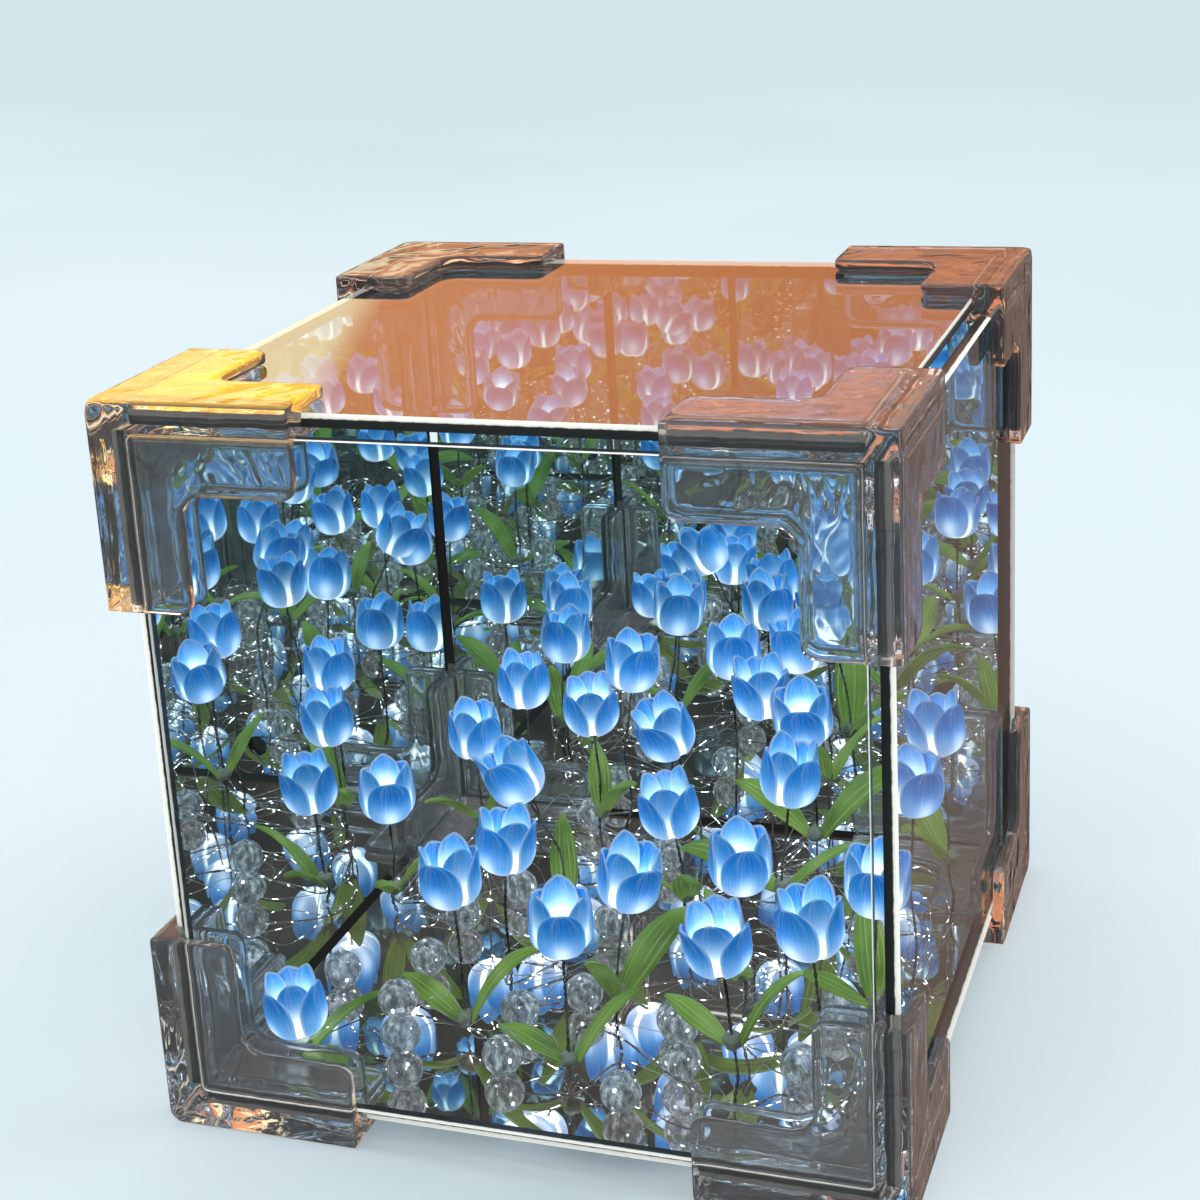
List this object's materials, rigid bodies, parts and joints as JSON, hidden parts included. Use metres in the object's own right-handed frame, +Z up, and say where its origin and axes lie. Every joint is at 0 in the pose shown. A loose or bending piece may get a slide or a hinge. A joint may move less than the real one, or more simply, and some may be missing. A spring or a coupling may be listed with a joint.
{
  "type": "mirror display cube",
  "caption": "Display cube of loose mirror-film acrylic panels in clear push-fit corner brackets, holding a bed of small tulips on a string of lights; the lid lifts off.",
  "frame": {"origin": "centre of the cube's footprint, on the surface that it stands on", "axes": "+Z up; +X to the right and +Y to the back, seen from the front panel"},
  "size_m": [0.11, 0.11, 0.11],
  "materials": {
    "one_way_mirror": "polished acrylic with a thin one-way mirror film on its inner face",
    "floor_mirror": "polished acrylic mirror",
    "clear_bracket": "clear moulded plastic, slightly wavy, faint warm tint",
    "tulip_petal": "translucent moulded petals, blue at the tips and milky white at the base",
    "leaf_green": "translucent moulded leaf with pale ribs",
    "led_lens": "clear resin over a light chip",
    "wire_enamel": "thin enamelled wire",
    "crackle_clear": "clear crackle bead"
  },
  "bodies": {
    "base": {"front_panel": "one_way_mirror", "back_panel": "one_way_mirror", "left_panel": "one_way_mirror", "right_panel": "one_way_mirror", "bottom_panel": "floor_mirror", "bracket_bottom_front_left": "clear_bracket", "bracket_bottom_front_right": "clear_bracket", "bracket_bottom_back_left": "clear_bracket", "bracket_bottom_back_right": "clear_bracket", "tulip_01": "tulip_petal", "tulip_02": "tulip_petal", "tulip_03": "tulip_petal", "tulip_04": "tulip_petal", "tulip_05": "tulip_petal", "tulip_06": "tulip_petal", "tulip_07": "tulip_petal", "tulip_08": "tulip_petal", "tulip_09": "tulip_petal", "tulip_10": "tulip_petal", "tulip_11": "tulip_petal", "tulip_12": "tulip_petal", "tulip_13": "tulip_petal", "tulip_14": "tulip_petal", "tulip_15": "tulip_petal", "tulip_16": "tulip_petal", "tulip_17": "tulip_petal", "tulip_18": "tulip_petal", "tulip_19": "tulip_petal", "tulip_20": "tulip_petal", "tulip_21": "tulip_petal", "tulip_22": "tulip_petal", "tulip_23": "tulip_petal", "tulip_24": "tulip_petal", "leaves_01": "leaf_green", "leaves_02": "leaf_green", "leaves_03": "leaf_green", "leaves_04": "leaf_green", "leaves_05": "leaf_green", "leaves_06": "leaf_green", "leaves_07": "leaf_green", "leaves_08": "leaf_green", "leaves_09": "leaf_green", "leaves_10": "leaf_green", "leaves_11": "leaf_green", "leaves_12": "leaf_green", "leaves_13": "leaf_green", "leaves_14": "leaf_green", "leaves_15": "leaf_green", "leaves_16": "leaf_green", "led_bulbs": "led_lens", "stem_wires": "wire_enamel", "string_wire": "wire_enamel", "crackle_beads": "crackle_clear"},
    "lid": {"top_panel": "one_way_mirror", "bracket_top_front_left": "clear_bracket", "bracket_top_front_right": "clear_bracket", "bracket_top_back_left": "clear_bracket", "bracket_top_back_right": "clear_bracket"}
  },
  "joints": [
    {"name": "lid_lift", "type": "slide", "parent": "base", "child": "lid", "axis": [0, 0, 1], "range_m": [0, 0.06]}
  ]
}
